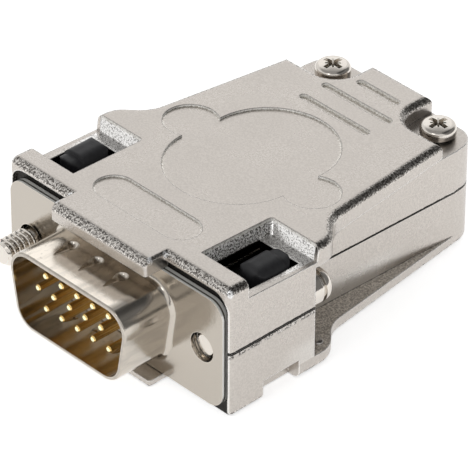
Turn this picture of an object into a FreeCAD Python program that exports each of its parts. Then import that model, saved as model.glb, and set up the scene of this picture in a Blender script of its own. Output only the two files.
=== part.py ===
import FreeCAD, Part
import math
import os

from FreeCAD import Vector

# A 15-contact high-density plug in a two-part cast hood for a straight cable.
# All sizes are millimetres. The pieces are drawn about the middle of the flange's front face:
# X runs across the connector, the plug points along -Y and the hood runs along +Y, with +Z up.
# Before they are written, they are moved together so that the part stands on z = 0, centred in its box.

# Contacts
contact_pitch = 2.29
row_pitch = 1.98
row_count = 3
contacts_per_row = 5
contact_r = 0.38
contact_reach = 5.1
contact_tip_r = 0.25
contact_tip_length = 0.13
contact_collar_r = 0.66
contact_collar_length = 0.8
barrel_r = 0.55
cup_r = 0.36
cup_length = 2.4
cup_opening = 1.6
contact_clearance = 0.03

# Plug shells and flange
sheet = 0.4
collar_width = 17.0
collar_height = 9.0
collar_corner_r = 2.6
collar_slant = 10.0
collar_depth = 6.3
collar_root_r = 0.6
flange_end = 2.91
flange_height = 12.55
flange_corner_r = 1.9
flange_hole_r = 1.6
dimple_pitch = 3.6
dimple_count = 3
dimple_x = -0.45
dimple_y = -1.9
dimple_length = 2.5
dimple_r = 0.8
dimple_depth = 0.42
dimple_wall_share = 0.6
tray_width = 19.2
tray_height = 10.7
tray_corner_r = 2.0
tray_depth = 5.0

# Insulators
insulator_step = 0.4
insulator_clearance = 0.08
front_insulator_length = 2.4
rear_boss_length = 2.4

# Jackscrews
screw_spacing = 24.99
screw_r = 1.42
screw_tip_chamfer = 0.35
screw_thread_length = 3.75
screw_shank_r = 1.25
screw_stick_out = 3.95
screw_travel = 4.5
neck_r = 1.0
screw_head_r = 1.95
screw_head_length = 3.05
head_groove_r = 1.7
head_groove_width = 0.25
slot_width = 0.7
slot_depth = 1.1
screw_clearance = 0.15
stop_clearance = 0.1

# Screw retainers
retainer_thickness = 2.0
retainer_shift = 0.6
retainer_width = 3.4
retainer_length = 4.9
retainer_rise = 0.95
retainer_edge_r = 1.25
retainer_end_r = 1.3
retainer_nose_r = 1.0
retainer_step_length = 1.2
retainer_step_drop = 0.35
fork_width = 4.0
fork_drop = 3.0
fork_clearance = 0.1

# Hood outline
recess_wall = 0.345
hood_front_y = 0.38
hood_rear_y = 40.0
hood_edge_r = 0.82
front_corner_r = 0.65
shoulder_y = 14.3
shoulder_r = 3.0
waist_x = 13.2
waist_y = 17.03
waist_r = 4.0
rear_side_x = 10.62
rear_corner_r = 2.5
upper_lip_thickness = 1.865
top_fall = 0.0325
lower_lip_thickness = 0.845
bottom_rise = 0.0085
parting_step = 0.5
parting_relief = 0.3
parting_height = 0.12

# Hood front
recess_gap = 0.2
recess_top_gap = 1.0
recess_seat_gap = 0.05
lip_half_width = 6.85
lip_reach = 2.2
lower_lip_reach = 1.8
lower_lip_edge_r = 0.45
lip_gap = 0.08
lip_edge_r = 0.9
lip_corner_r = 0.35
lip_root_length = 1.5

# Side channels behind the screw heads
block_rear_y = 12.0
channel_half_height = 5.35
channel_wall_x = 10.3
channel_flare = 0.7
channel_end_y = 37.0
channel_corner_r = 0.6

# Pockets over the retainers and notches under them
pocket_inner_x = 9.3
pocket_front_y = 3.0
pocket_rear_y = 12.4
pocket_depth = 1.9
pocket_lean = 0.2
pocket_rear_lean = 0.25
pocket_corner_r = 0.4
window_front_y = 3.4
window_rear_gap = 0.4
window_outer_gap = 0.1
window_overcut = 0.68
notch_front_y = 5.0
notch_rear_y = 9.9
notch_depth_x = 1.55
notch_ceiling_z = -4.8

# Cavity, cable entry and cable clamp
hood_wall = 1.25
cavity_headroom = 0.2
tray_gap = 0.15
front_cavity_rear_y = 13.0
cavity_rear_y = 32.0
cavity_corner_r = 1.5
cable_bore_r = 4.0
cable_mouth_chamfer = 0.5
clamp_y = 29.0
clamp_width = 3.6
clamp_thickness = 1.1
clamp_bore_r = 4.0
clamp_screw_x = 6.95
clamp_ear_x = 8.7
post_r = 1.6
post_top_z = -1.2
saddle_wall = 0.9
clamp_screw_length = 4.0
post_root = 0.2
clamp_hole_floor = 1.0

# Cover screws
cover_screw_x = 7.6
cover_screw_y = 37.5
cover_screw_r = 1.0
cover_screw_length = 9.6
pan_head_r = 1.9
pan_head_height = 1.3
pan_head_edge = 0.5
cross_width = 0.55
cross_reach = 1.15
cross_depth = 0.75
screw_hole_gap = 0.02
clearance_hole_gap = 0.1
screw_hole_spare = 0.5
seat_z = 5.05
seat_front_y = 34.4
seat_inner_x = 4.3
seat_corner_r = 2.9
boss_r = 1.5
boss_height = 0.25

# Ornament in the top face
groove_width = 0.9
groove_depth = 0.3
groove_rows = [(30.2, 4.9), (33.4, 4.9), (36.5, 2.95)]
recess_depth = 0.22
lobes = [(0.0, 21.3, 7.1), (-8.75, 18.5, 2.95), (8.75, 18.5, 2.95), (0.0, 16.3, 7.33)]
stadium_y = 4.45
stadium_r = 2.15
stadium_half_width = 6.9

# Places worked out from the sizes above
reach = 60.0
beyond = 5.0
overlap = 0.01
touch = 0.0001
spare = 1.0
near_full = 0.999
flange_width = screw_spacing + 2 * flange_end
flange_thickness = 2 * sheet
screw_x = screw_spacing / 2
retainer_x = screw_x + retainer_shift
bore_r = screw_r + screw_clearance
head_bore_r = screw_head_r + screw_clearance
forward_tip_y = -screw_stick_out
head_seat_y = block_rear_y - screw_head_length
fork_rear_y = head_seat_y - stop_clearance
fork_front_y = fork_rear_y - retainer_thickness
fork_y = (fork_front_y + fork_rear_y) / 2
thread_end_y = forward_tip_y + screw_thread_length
shank_end_y = fork_front_y - stop_clearance - screw_travel
recess_floor_y = flange_thickness + recess_seat_gap
recess_half_width = flange_width / 2 + recess_gap
hood_side_x = recess_half_width + recess_wall
top_z = flange_height / 2 + lip_gap + upper_lip_thickness
bottom_z = -flange_height / 2 - lip_gap - lower_lip_thickness
recess_top_z = flange_height / 2 + recess_top_gap
insulator_rear_y = tray_depth
cavity_half_height = tray_height / 2 + cavity_headroom
cavity_half_width = channel_wall_x - hood_wall
front_cavity_half_width = tray_width / 2 + tray_gap
boss_rear_y = insulator_rear_y + sheet + rear_boss_length
collar_rear_y = sheet + front_insulator_length
pocket_outer_x = hood_side_x + beyond
window_inner_x = pocket_inner_x + pocket_lean / 2
window_bottom_z = cavity_half_height - window_overcut


def top_at(y):
    """Height of the hood's top face at a place along the hood."""
    return top_z - top_fall * y


def bottom_at(y):
    """Height of the hood's bottom face at a place along the hood."""
    return bottom_z + bottom_rise * y


def pocket_floor_at(y):
    """Height of the pockets' floor, which slopes with the top face."""
    return top_at(y) - pocket_depth


def on_plane(axis, level):
    """Gives a function that places a flat point on the plane across the axis."""
    if axis == "x":
        return lambda u, v: Vector(level, u, v)
    if axis == "y":
        return lambda u, v: Vector(u, level, v)
    return lambda u, v: Vector(u, v, level)


def rounded_wire(corners, place):
    """Closed wire through corners of (u, v, radius), rounded by tangent arcs."""
    joints = []
    for index, (u, v, radius) in enumerate(corners):
        corner = place(u, v)
        before = place(*corners[index - 1][:2])
        after = place(*corners[(index + 1) % len(corners)][:2])
        back = (before - corner).normalize()
        ahead = (after - corner).normalize()
        half = back.getAngle(ahead) / 2
        if radius == 0:
            joints.append((corner, None, corner))
            continue
        run = radius / math.tan(half)
        inward = (back + ahead).normalize()
        middle = corner + inward * (radius / math.sin(half) - radius)
        joints.append((corner + back * run, middle, corner + ahead * run))
    edges = []
    for index, (start, middle, end) in enumerate(joints):
        if middle is not None:
            edges.append(Part.Arc(start, middle, end).toShape())
        following = joints[(index + 1) % len(joints)][0]
        if (following - end).Length > 1e-6:
            edges.append(Part.LineSegment(end, following).toShape())
    return Part.Wire(edges)


def prism(corners, axis, low, high):
    """Solid between two planes across the axis, with the outline given by its corners."""
    along = {"x": Vector(1, 0, 0), "y": Vector(0, 1, 0), "z": Vector(0, 0, 1)}[axis]
    return Part.Face(rounded_wire(corners, on_plane(axis, low))).extrude(along * (high - low))


def block(x0, x1, y0, y1, z0, z1):
    """Box between two corners."""
    return Part.makeBox(x1 - x0, y1 - y0, z1 - z0, Vector(x0, y0, z0))


def rod(radius, y0, y1, x=0.0, z=0.0):
    """Round bar along Y."""
    return Part.makeCylinder(radius, y1 - y0, Vector(x, y0, z), Vector(0, 1, 0))


def post(radius, z0, z1, x, y):
    """Round bar along Z."""
    return Part.makeCylinder(radius, z1 - z0, Vector(x, y, z0), Vector(0, 0, 1))


def turned(profile):
    """Solid of revolution about Y from a profile of (radius, y) points."""
    points = [Vector(radius, y, 0) for radius, y in profile]
    face = Part.Face(Part.makePolygon(points + [points[0]]))
    return face.revolve(Vector(0, 0, 0), Vector(0, 1, 0), 360)


def rounded_rect(half_width, low, high, radius):
    """Corners of a rounded rectangle, centred across."""
    return [(-half_width, low, radius), (half_width, low, radius),
            (half_width, high, radius), (-half_width, high, radius)]


def d_outline(shrink):
    """Corners of the plug's D outline, wide side up, moved inwards by the given amount."""
    slant = math.tan(math.radians(collar_slant))
    half_height = collar_height / 2 - shrink
    middle = collar_width / 2 - slant * collar_height / 4 - shrink / math.cos(math.radians(collar_slant))
    top = middle + slant * half_height
    base = middle - slant * half_height
    radius = collar_corner_r - shrink
    return [(-base, -half_height, radius), (base, -half_height, radius),
            (top, half_height, radius), (-top, half_height, radius)]


def mirrored(shape):
    """The same shape on the other side of the middle plane."""
    return shape.mirror(Vector(0, 0, 0), Vector(1, 0, 0))


def both_sides(shape):
    """A shape and its mirror image."""
    return [shape, mirrored(shape)]


def contact_places():
    """Name, x and z of each contact, from the top left to the bottom right."""
    places = []
    number = 1
    for row in range(row_count):
        offset = -contact_pitch / 2 if row % 2 else 0.0
        z = ((row_count - 1) / 2 - row) * row_pitch
        for column in range(contacts_per_row):
            x = (column - (contacts_per_row - 1) / 2) * contact_pitch + offset
            places.append(("contact_%02d" % number, x, z))
            number += 1
    return places


def make_plug_shell():
    """Front shell: the flange sheet with the drawn D collar, its dimples and the screw holes."""
    flange = prism(rounded_rect(flange_width / 2, -flange_height / 2, flange_height / 2, flange_corner_r),
                   "y", 0, sheet)
    collar = prism(d_outline(0), "y", -collar_depth, sheet)
    shell = flange.fuse(collar).removeSplitter()
    root = [edge for edge in shell.Edges
            if abs(edge.BoundBox.YMin) < touch and abs(edge.BoundBox.YMax) < touch
            and edge.BoundBox.XMax < flange_width / 2 - flange_corner_r
            and edge.BoundBox.XMin > -flange_width / 2 + flange_corner_r
            and abs(edge.BoundBox.ZMax) < flange_height / 2 - sheet
            and abs(edge.BoundBox.ZMin) < flange_height / 2 - sheet]
    shell = shell.makeFillet(collar_root_r, root)
    rim = [edge for edge in shell.Edges if abs(edge.BoundBox.YMax + collar_depth) < touch]
    shell = shell.makeFillet(sheet / 2, rim)
    shell = shell.cut(prism(d_outline(sheet), "y", -reach, reach))
    for side in (-1, 1):
        shell = shell.cut(rod(flange_hole_r, -spare, spare, side * screw_x))
    for x, z, out in dimple_places():
        shell = dimpled(shell, x, z, out)
    return shell


def dimple_places():
    """Rear middle of each dimple on the collar, as x, height and the side that it is pressed from."""
    places = []
    for side in (-1, 1):
        for index in range(dimple_count):
            x = dimple_x + (index - (dimple_count - 1) / 2) * dimple_pitch
            places.append((x, side * collar_height / 2, side))
    return places


def dimple_tool(x, z, out, grow):
    """Drop-shaped punch that runs out towards the rim, grown by the given amount."""
    radius = dimple_r + grow
    tip_y = dimple_y - dimple_length
    deep = Vector(x, dimple_y, z + out * (dimple_r - dimple_depth))
    shallow = Vector(x, tip_y, z + out * sheet / 2)
    ball = Part.makeSphere(radius, deep)
    taper = Part.makeCone(sheet / 2 + grow, radius, (deep - shallow).Length, shallow, deep - shallow)
    return ball.fuse(taper)


def dimpled(shell, x, z, out):
    """Presses one drop-shaped dimple into the collar, with its bump inside."""
    inside = prism(d_outline(sheet / 2), "y", -collar_depth, 0)
    bump = dimple_tool(x, z, out, sheet * dimple_wall_share).common(inside)
    return shell.fuse(bump).cut(dimple_tool(x, z, out, 0))


def make_back_shell():
    """Back shell: the second flange sheet, drawn back into a tray round the insulators."""
    flange = prism(rounded_rect(flange_width / 2, -flange_height / 2, flange_height / 2, flange_corner_r),
                   "y", sheet, flange_thickness)
    rear = sheet + tray_depth
    outside = rounded_rect(tray_width / 2, -tray_height / 2, tray_height / 2, tray_corner_r)
    shell = flange.fuse(prism(outside, "y", sheet, rear))
    inside = rounded_rect(tray_width / 2 - sheet, -tray_height / 2 + sheet, tray_height / 2 - sheet,
                          tray_corner_r - sheet)
    shell = shell.cut(prism(inside, "y", 0, insulator_rear_y))
    shell = shell.cut(prism(d_outline(sheet), "y", insulator_rear_y - spare, rear + spare))
    for side in (-1, 1):
        shell = shell.cut(rod(flange_hole_r, 0, flange_thickness + spare, side * screw_x))
    return shell


def tray_fill(y0, y1):
    """Insulator plate that fills the tray between two planes."""
    inset = sheet + insulator_clearance
    return prism(rounded_rect(tray_width / 2 - inset, -tray_height / 2 + inset,
                              tray_height / 2 - inset, tray_corner_r - inset), "y", y0, y1)


def make_front_insulator():
    """Front insulator: the raised face inside the collar on a plate in the tray."""
    face = prism(d_outline(sheet + insulator_clearance), "y", -insulator_step, sheet)
    body = face.fuse(tray_fill(sheet, collar_rear_y))
    for name, x, z in contact_places():
        body = body.cut(rod(contact_r + contact_clearance, -reach, reach, x, z))
        body = body.cut(rod(contact_collar_r + contact_clearance, collar_rear_y - contact_collar_length / 2,
                            reach, x, z))
    return body.removeSplitter()


def make_rear_insulator():
    """Rear insulator: the plate that closes the tray, with a boss round the solder barrels."""
    body = tray_fill(collar_rear_y, insulator_rear_y)
    boss = prism(d_outline(sheet + insulator_clearance), "y", collar_rear_y, boss_rear_y)
    body = body.fuse(boss)
    for name, x, z in contact_places():
        body = body.cut(rod(barrel_r + contact_clearance, 0, reach, x, z))
        body = body.cut(rod(contact_collar_r + contact_clearance, 0,
                            collar_rear_y + contact_collar_length / 2, x, z))
    return body.removeSplitter()


def make_contact(x, z):
    """One turned contact: pin, retaining collar and barrel with an open solder cup."""
    collar_y0 = collar_rear_y - contact_collar_length / 2 + contact_clearance
    collar_y1 = collar_rear_y + contact_collar_length / 2 - contact_clearance
    cup_front_y = boss_rear_y
    rear = cup_front_y + cup_length
    body = turned([(0, -contact_reach), (contact_tip_r, -contact_reach),
                   (contact_r, -contact_reach + contact_tip_length), (contact_r, collar_y0),
                   (contact_collar_r, collar_y0), (contact_collar_r, collar_y1),
                   (barrel_r, collar_y1), (barrel_r, rear), (0, rear)])
    body = body.cut(rod(cup_r, cup_front_y, rear + spare))
    opening_y = cup_front_y + cup_length - cup_opening
    body = body.cut(block(-barrel_r, barrel_r, opening_y, rear + spare, cup_r / 2, barrel_r))
    body.translate(Vector(x, 0, z))
    return body


def make_jackscrew(side, shift):
    """One captive jackscrew, moved back from its forward stop by the given shift."""
    head_y0 = head_seat_y
    head_y1 = head_y0 + screw_head_length
    groove_y = (head_y0 + head_y1) / 2
    edge = screw_tip_chamfer / 2
    body = turned([(0, forward_tip_y), (screw_r - screw_tip_chamfer, forward_tip_y),
                   (screw_r, forward_tip_y + screw_tip_chamfer), (screw_r, thread_end_y),
                   (screw_shank_r, thread_end_y), (screw_shank_r, shank_end_y),
                   (neck_r, shank_end_y), (neck_r, head_y0), (screw_head_r, head_y0),
                   (screw_head_r, groove_y - head_groove_width),
                   (head_groove_r, groove_y - head_groove_width / 2),
                   (head_groove_r, groove_y + head_groove_width / 2),
                   (screw_head_r, groove_y + head_groove_width),
                   (screw_head_r, head_y1 - edge), (screw_head_r - edge, head_y1), (0, head_y1)])
    body = body.cut(block(-screw_head_r, screw_head_r, head_y1 - slot_depth, head_y1 + spare,
                          -slot_width / 2, slot_width / 2))
    body.translate(Vector(side * screw_x, shift, 0))
    return body


def make_retainer(side):
    """One moulded retainer: a stepped button in the pocket, over a fork that straddles the screw's neck.

    The same moulding serves both sides, turned half round about its upright axis.
    """
    crown = pocket_floor_at(fork_y) + retainer_rise
    foot = window_bottom_z
    half_length = retainer_length / 2
    outline = rounded_rect(retainer_width / 2, -half_length, half_length, retainer_end_r)
    section = [(-retainer_width / 2, foot, 0), (retainer_width / 2, foot, 0),
               (retainer_width / 2, crown, retainer_edge_r), (-retainer_width / 2, crown, retainer_edge_r)]
    profile = [(-half_length, foot, 0), (half_length, foot, 0), (half_length, crown, retainer_nose_r),
               (-half_length, crown, 0)]
    button = prism(outline, "z", foot, crown).common(prism(section, "y", -half_length, half_length))
    button = button.common(prism(profile, "x", -retainer_width, retainer_width))
    step_y = -half_length + retainer_step_length
    low_step = prism([(u, v - retainer_step_drop * (v > foot), r) for u, v, r in section],
                     "y", -half_length, step_y)
    step_space = block(-retainer_width, retainer_width, -half_length - spare, step_y, foot, crown + spare)
    button = button.cut(step_space.cut(low_step))
    offset = retainer_x - screw_x
    fork = block(offset - fork_width / 2, offset + fork_width / 2, -retainer_thickness / 2,
                 retainer_thickness / 2, -fork_drop, foot)
    gap = neck_r + fork_clearance
    fork = fork.cut(rod(gap, -reach, reach, offset))
    fork = fork.cut(block(offset - gap, offset + gap, -reach, reach, -reach, 0))
    body = button.fuse(fork).removeSplitter()
    if side > 0:
        body.rotate(Vector(0, 0, 0), Vector(0, 0, 1), 180)
    body.translate(Vector(side * retainer_x, fork_y, 0))
    return body


def hood_plan():
    """Corners of the hood's outline seen from above."""
    right = [(hood_side_x, hood_front_y, front_corner_r), (hood_side_x, shoulder_y, shoulder_r),
             (waist_x, waist_y, waist_r), (rear_side_x, hood_rear_y, rear_corner_r)]
    return right + [(-x, y, r) for x, y, r in reversed(right)]


def hood_side(y0, y1):
    """Solid between the hood's sloping top and bottom faces, over a stretch of its length."""
    corners = [(y0, bottom_at(y0), 0), (y1, bottom_at(y1), 0), (y1, top_at(y1), 0), (y0, top_at(y0), 0)]
    return prism(corners, "x", -reach, reach)


def make_hood_blank():
    """The hood as one casting, rounded along its top and bottom edges, with the lips over the flange."""
    blank = prism(hood_plan(), "z", -reach, reach).common(hood_side(-reach, reach))
    for side in (-1, 1):
        blank = blank.cut(make_screw_seat(side))
    lowest_rim = top_at(hood_rear_y) - overlap
    rims = [edge for edge in blank.Edges
            if edge.BoundBox.ZMin > lowest_rim or edge.BoundBox.ZMax < -seat_z]
    blank = blank.makeFillet(hood_edge_r, rims)
    for side in both_sides(make_side_channel()):
        blank = blank.cut(side)
    blank = blank.cut(make_flange_recess())
    blank = blank.fuse(make_lip(1, lip_reach, lip_edge_r))
    return blank.fuse(make_lip(-1, lower_lip_reach, lower_lip_edge_r))


def make_side_channel():
    """Space beside the hood where a screwdriver reaches the right screw's head."""
    wall_end = channel_wall_x + channel_flare
    out = hood_side_x + beyond
    soft = channel_corner_r
    corners = [(channel_wall_x, block_rear_y, soft), (wall_end, channel_end_y, 0), (out, channel_end_y, 0),
               (out, block_rear_y, 0)]
    return prism(corners, "z", -channel_half_height, channel_half_height)


def make_flange_recess():
    """Recess that takes the flange. In the lower half it runs out through the bottom."""
    half = flange_height / 2
    recess = prism([(-recess_half_width, -half, 0), (recess_half_width, -half, 0),
                    (recess_half_width, recess_top_z, flange_corner_r),
                    (-recess_half_width, recess_top_z, flange_corner_r)], "y", -reach, recess_floor_y)
    under = block(-recess_half_width, recess_half_width, -reach, recess_floor_y, -reach, -half)
    return recess.fuse(under)


def make_lip(side, length, edge_r):
    """Lip of one half that reaches forward over the middle of the flange."""
    level = top_at if side > 0 else bottom_at
    root_y = recess_floor_y + lip_root_length
    near = side * (flange_height / 2 + lip_gap)
    front = -length
    corners = [(front, near, 0), (front, level(front), edge_r), (root_y, level(root_y), 0),
               (root_y, near, 0)]
    lip = prism(corners, "x", -lip_half_width, lip_half_width)
    posts = [edge for edge in lip.Edges
             if edge.BoundBox.YMax < front + touch and edge.BoundBox.XLength < touch]
    return lip.makeFillet(lip_corner_r, posts)


def make_cavity():
    """Space inside the hood for the tray, the wires and the clamp, with the round cable entry."""
    low = -cavity_half_height
    high = cavity_half_height
    front = rounded_rect(front_cavity_half_width, low, high, cavity_corner_r)
    front = prism(front, "y", 0, front_cavity_rear_y)
    main = rounded_rect(cavity_half_width, low, high, cavity_corner_r)
    main = prism(main, "y", recess_floor_y, cavity_rear_y)
    entry = rod(cable_bore_r, cavity_rear_y - spare, reach)
    wide = cable_bore_r + cable_mouth_chamfer
    mouth = Part.makeCone(cable_bore_r, wide, cable_mouth_chamfer,
                          Vector(0, hood_rear_y - cable_mouth_chamfer, 0), Vector(0, 1, 0))
    return front.fuse(main).fuse(entry).fuse(mouth)


def screw_bores(side):
    """Bores for one jackscrew: thread, neck slot and head."""
    x = side * screw_x
    gap = stop_clearance / 2
    thread = rod(bore_r, 0, block_rear_y + spare, x)
    head = rod(head_bore_r, head_seat_y - gap, block_rear_y + spare, x)
    half_slot = fork_width / 2 + fork_clearance
    slot = block(x - half_slot, x + half_slot, fork_front_y - gap, fork_rear_y + gap,
                 -fork_drop - fork_clearance, window_bottom_z + overlap)
    return thread.fuse(head).fuse(slot)


def make_pocket(side):
    """Pocket in the upper half round one retainer, with leaning walls and the window through its floor."""
    rear = pocket_rear_y
    high = top_at(rear) + pocket_depth
    along = [(pocket_front_y, pocket_floor_at(pocket_front_y), 0),
             (rear - pocket_rear_lean, pocket_floor_at(rear), 0), (rear + pocket_rear_lean, high, 0),
             (pocket_front_y, high, 0)]
    low = top_at(rear) - 2 * pocket_depth
    across = [(pocket_inner_x + 2 * pocket_lean, low, 0), (pocket_outer_x, low, 0),
              (pocket_outer_x, high, 0), (pocket_inner_x - pocket_lean, high, 0)]
    space = prism(along, "x", 0, pocket_outer_x).common(prism(across, "y", 0, reach))
    inner = pocket_inner_x + 2 * pocket_lean
    corner = [edge for edge in space.Edges if edge.BoundBox.XMax < inner
              and edge.BoundBox.YMin > pocket_front_y + pocket_depth]
    space = space.makeFillet(pocket_corner_r, corner)
    outer = retainer_x + retainer_width / 2 + window_outer_gap
    window_rear_y = fork_y + retainer_length / 2 + window_rear_gap
    window = block(window_inner_x, outer, window_front_y, window_rear_y, window_bottom_z, top_z)
    both = space.fuse(window)
    return both if side > 0 else mirrored(both)


def make_notch(side):
    """Notch in the lower half's side, under one retainer."""
    space = block(hood_side_x - notch_depth_x, pocket_outer_x, notch_front_y, notch_rear_y,
                  -reach, notch_ceiling_z)
    return space if side > 0 else mirrored(space)


def make_screw_seat(side):
    """Step at one rear corner of the upper half, down to the low boss under the cover screw."""
    out = hood_side_x + beyond
    corners = [(seat_inner_x, reach, 0), (seat_inner_x, seat_front_y, seat_corner_r),
               (out, seat_front_y, 0), (out, reach, 0)]
    space = prism(corners, "z", seat_z, reach)
    space = space.cut(post(boss_r, seat_z, seat_z + boss_height, cover_screw_x, cover_screw_y))
    return space if side > 0 else mirrored(space)


def make_parting_relief():
    """Thin open line round the joint between the halves."""
    inset = parting_relief
    step_in = {hood_front_y: inset, hood_rear_y: -inset}
    inner = [(x - math.copysign(inset, x), y + step_in.get(y, 0), max(r - inset, inset))
             for x, y, r in hood_plan()]
    joint = []
    for low, y0, y1 in ((parting_step, -reach, block_rear_y), (0, block_rear_y, reach)):
        ring = prism(hood_plan(), "z", low, low + parting_height)
        ring = ring.cut(prism(inner, "z", low, low + parting_height))
        joint.append(ring.common(block(-reach, reach, y0, y1, -reach, reach)))
    return joint[0].fuse(joint[1])


def top_ornament():
    """Grooves, the lobed recess and the rounded recess, as the space that they take from the top face."""
    spaces = []
    for y, half in groove_rows:
        spaces.append((slot_prism(y, half, groove_width / 2), groove_depth))
    spaces.append((slot_prism(stadium_y, stadium_half_width, stadium_r), recess_depth))
    lobed = None
    for x, y, radius in lobes:
        disc = post(radius, 0, reach, x, y)
        lobed = disc if lobed is None else lobed.fuse(disc)
    spaces.append((lobed.removeSplitter(), recess_depth))
    cuts = []
    for space, depth in spaces:
        floor = hood_side(-reach, reach)
        floor.translate(Vector(0, 0, -depth))
        cuts.append(space.cut(floor))
    return cuts


def slot_prism(y, half_length, radius):
    """Upright prism of a round-ended slot that runs across the hood."""
    soft = radius * near_full
    corners = [(-half_length, y - radius, soft), (half_length, y - radius, soft),
               (half_length, y + radius, soft), (-half_length, y + radius, soft)]
    return prism(corners, "z", 0, reach)


def half_space(side):
    """Everything on one side of the joint between the halves, which steps up in the front block."""
    upper = block(-reach, reach, -reach, reach, 0, reach)
    upper = upper.cut(block(-reach, reach, -reach, block_rear_y, 0, parting_step))
    if side > 0:
        return upper
    return block(-reach, reach, -reach, reach, -reach, reach).cut(upper)


def make_upper_hood(blank):
    """Upper half: pockets, screw seats, ornament and half of each bore."""
    half = blank.common(half_space(1)).cut(make_cavity())
    hole_r = cover_screw_r + clearance_hole_gap
    for side in (-1, 1):
        half = half.cut(screw_bores(side))
        half = half.cut(make_pocket(side))
        half = half.cut(post(hole_r, -spare, reach, side * cover_screw_x, cover_screw_y))
    for space in top_ornament():
        half = half.cut(space)
    return half.cut(make_parting_relief())


def make_lower_hood(blank):
    """Lower half: notches, screw holes, clamp posts and half of each bore."""
    half = blank.common(half_space(-1)).cut(make_cavity())
    floor = -cavity_half_height - post_root
    wall = clamp_bore_r + saddle_wall
    half = half.fuse(block(-wall, wall, clamp_y - clamp_width / 2, clamp_y + clamp_width / 2,
                           floor, post_top_z))
    for side in (-1, 1):
        half = half.fuse(post(post_r, floor, post_top_z, side * clamp_screw_x, clamp_y))
    half = half.cut(rod(clamp_bore_r, clamp_y - clamp_width, clamp_y + clamp_width))
    hole_r = cover_screw_r + screw_hole_gap
    depth = cover_screw_length - seat_z - boss_height + screw_hole_spare
    for side in (-1, 1):
        half = half.cut(post(hole_r, floor + clamp_hole_floor, spare, side * clamp_screw_x, clamp_y))
        half = half.cut(screw_bores(side))
        half = half.cut(make_notch(side))
        half = half.cut(post(hole_r, -depth, spare, side * cover_screw_x, cover_screw_y))
    return half.removeSplitter()


def make_pan_screw(x, y, z, length):
    """Small pan-head screw with a cross recess, its head resting at height z."""
    tip = cover_screw_r / 2
    profile = [(0, -length, 0), (tip, -length, 0), (cover_screw_r, tip - length, 0), (cover_screw_r, 0, 0),
               (pan_head_r, 0, 0), (pan_head_r, pan_head_height, pan_head_edge), (0, pan_head_height, 0)]
    wire = rounded_wire(profile, on_plane("y", 0))
    screw = Part.Face(wire).revolve(Vector(0, 0, 0), Vector(0, 0, 1), 360)
    half = cross_width / 2
    low = pan_head_height - cross_depth
    screw = screw.cut(block(-cross_reach, cross_reach, -half, half, low, reach))
    screw = screw.cut(block(-half, half, -cross_reach, cross_reach, low, reach))
    screw.translate(Vector(x, y, z))
    return screw


def make_cable_clamp():
    """Bent strap that holds the cable down on the saddle, with an ear on each post."""
    y0 = clamp_y - clamp_width / 2
    y1 = clamp_y + clamp_width / 2
    outer = clamp_bore_r + clamp_thickness
    arch = rod(outer, y0, y1).common(block(-reach, reach, -reach, reach, post_top_z, reach))
    ears = block(-clamp_ear_x, clamp_ear_x, y0, y1, post_top_z, post_top_z + clamp_thickness)
    strap = arch.fuse(ears).cut(rod(clamp_bore_r, -reach, reach))
    hole_r = cover_screw_r + clearance_hole_gap
    for side in (-1, 1):
        strap = strap.cut(post(hole_r, -reach, reach, side * clamp_screw_x, clamp_y))
    return strap.removeSplitter()


def part_offset():
    """Moves the drawing so that the part's box is centred and stands on zero."""
    return Vector(0, -(hood_rear_y - collar_depth) / 2, -bottom_at(-lower_lip_reach))


def main():
    """Builds every piece and writes one file for each."""
    blank = make_hood_blank()
    pieces = {
        "upper_hood": make_upper_hood(blank),
        "lower_hood": make_lower_hood(blank),
        "plug_shell": make_plug_shell(),
        "back_shell": make_back_shell(),
        "front_insulator": make_front_insulator(),
        "rear_insulator": make_rear_insulator(),
        "jackscrew_left": make_jackscrew(-1, 0),
        "jackscrew_right": make_jackscrew(1, screw_travel),
        "retainer_left": make_retainer(-1),
        "retainer_right": make_retainer(1),
        "cable_clamp": make_cable_clamp(),
    }
    for name, side in (("left", -1), ("right", 1)):
        pieces["cover_screw_" + name] = make_pan_screw(side * cover_screw_x, cover_screw_y,
                                                       seat_z + boss_height,
                                                       cover_screw_length)
        pieces["clamp_screw_" + name] = make_pan_screw(side * clamp_screw_x, clamp_y,
                                                       post_top_z + clamp_thickness,
                                                       clamp_screw_length)
    for name, x, z in contact_places():
        pieces[name] = make_contact(x, z)
    os.makedirs("parts", exist_ok=True)
    offset = part_offset()
    for name, shape in pieces.items():
        solids = shape.Solids
        shape = solids[0] if len(solids) == 1 else shape
        shape.translate(offset)
        box = shape.BoundBox
        print("%-18s solids %d valid %s volume %9.3f box %s" % (
            name, len(solids), shape.isValid(), shape.Volume,
            [round(value, 2) for value in (box.XMin, box.YMin, box.ZMin, box.XMax, box.YMax, box.ZMax)]))
        shape.exportStep("parts/%s.step" % name)


main()
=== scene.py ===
"""Visual model of a 15-contact plug in a cast nickel hood, dressed around its fixed frame."""

from __future__ import annotations

import logging
import math
from dataclasses import dataclass
from enum import Enum
from functools import cached_property
from typing import Callable, ClassVar, NamedTuple

import bmesh
import bpy
from mathutils import Matrix, Vector


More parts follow.
